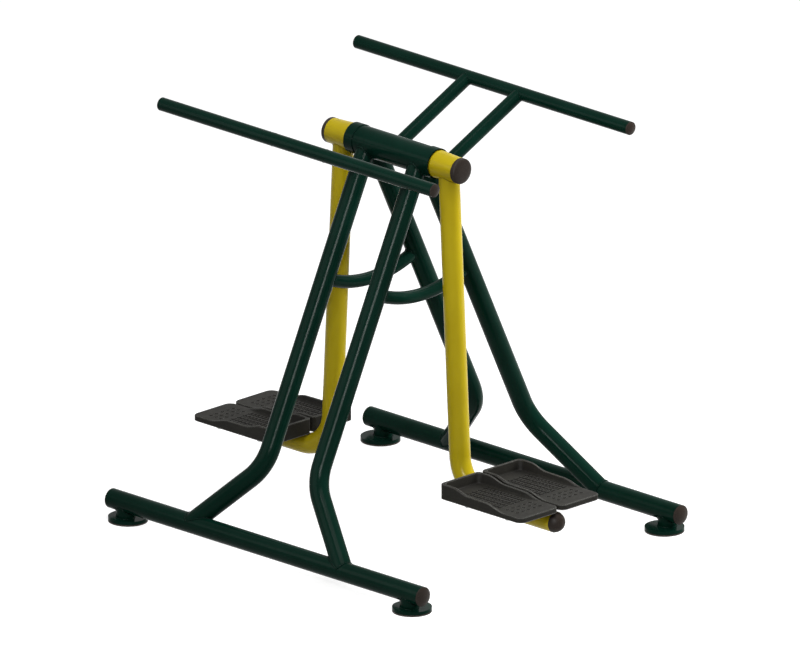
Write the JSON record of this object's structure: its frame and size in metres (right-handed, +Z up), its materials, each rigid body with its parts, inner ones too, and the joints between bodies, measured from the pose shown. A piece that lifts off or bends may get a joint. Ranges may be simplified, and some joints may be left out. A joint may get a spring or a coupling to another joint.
{
  "type": "double pendulum hip swing",
  "caption": "Two-station outdoor hip swing: A-frames on skids carry a cross axle, a bent arm with twin footplates hangs at each end, and long handlebars run along both sides.",
  "frame": {"origin": "on the floor under the middle of the cross tube", "axes": "+X along the axle and the skids to the right station, +Y across the stance to the rear, +Z up"},
  "size_m": [1.392, 1.177, 1.2998],
  "materials": {
    "green_paint": "gloss",
    "yellow_paint": "gloss",
    "cap_plastic": "satin",
    "footplate_plastic": "matte",
    "pad_rubber": "matte",
    "seal_rubber": "matte",
    "bearing_steel": "ground",
    "zinc_steel": "zinc plated"
  },
  "bodies": {
    "frame": {"front_skid": "green_paint", "rear_skid": "green_paint", "front_left_foot": "green_paint", "front_right_foot": "green_paint", "rear_left_foot": "green_paint", "rear_right_foot": "green_paint", "front_left_leg": "green_paint", "front_right_leg": "green_paint", "rear_left_leg": "green_paint", "rear_right_leg": "green_paint", "left_brace": "green_paint", "right_brace": "green_paint", "front_left_strut": "green_paint", "front_right_strut": "green_paint", "rear_left_strut": "green_paint", "rear_right_strut": "green_paint", "front_handlebar": "green_paint", "rear_handlebar": "green_paint", "main_tube": "green_paint", "left_axle_plate": "green_paint", "right_axle_plate": "green_paint", "left_collar": "green_paint", "right_collar": "green_paint", "front_left_skid_cap": "cap_plastic", "front_right_skid_cap": "cap_plastic", "rear_left_skid_cap": "cap_plastic", "rear_right_skid_cap": "cap_plastic", "front_handlebar_caps": "cap_plastic", "rear_handlebar_caps": "cap_plastic", "foot_pads": "pad_rubber", "axle": "bearing_steel", "left_inner_races": "bearing_steel", "right_inner_races": "bearing_steel", "left_spacer": "bearing_steel", "right_spacer": "bearing_steel", "axle_circlips": "bearing_steel"},
    "left_pendulum": {"left_hub": "yellow_paint", "left_outer_races": "bearing_steel", "left_balls": "bearing_steel", "left_seals": "seal_rubber", "left_hub_circlips": "bearing_steel", "left_hub_cap": "cap_plastic", "left_arm": "yellow_paint", "left_arm_cap": "cap_plastic", "left_cross_plates": "yellow_paint", "left_front_footplate": "footplate_plastic", "left_rear_footplate": "footplate_plastic", "left_footplate_bolts": "zinc_steel"},
    "right_pendulum": {"right_hub": "yellow_paint", "right_outer_races": "bearing_steel", "right_balls": "bearing_steel", "right_seals": "seal_rubber", "right_hub_circlips": "bearing_steel", "right_hub_cap": "cap_plastic", "right_arm": "yellow_paint", "right_arm_cap": "cap_plastic", "right_cross_plates": "yellow_paint", "right_front_footplate": "footplate_plastic", "right_rear_footplate": "footplate_plastic", "right_footplate_bolts": "zinc_steel"}
  },
  "joints": [
    {"name": "left_swing", "type": "hinge", "parent": "frame", "child": "left_pendulum", "pos_m": [-0.209, 0, 1.17213], "axis": [1, 0, 0], "range_deg": [-30, 30]},
    {"name": "right_swing", "type": "hinge", "parent": "frame", "child": "right_pendulum", "pos_m": [0.209, 0, 1.17213], "axis": [1, 0, 0], "range_deg": [-30, 30]}
  ]
}
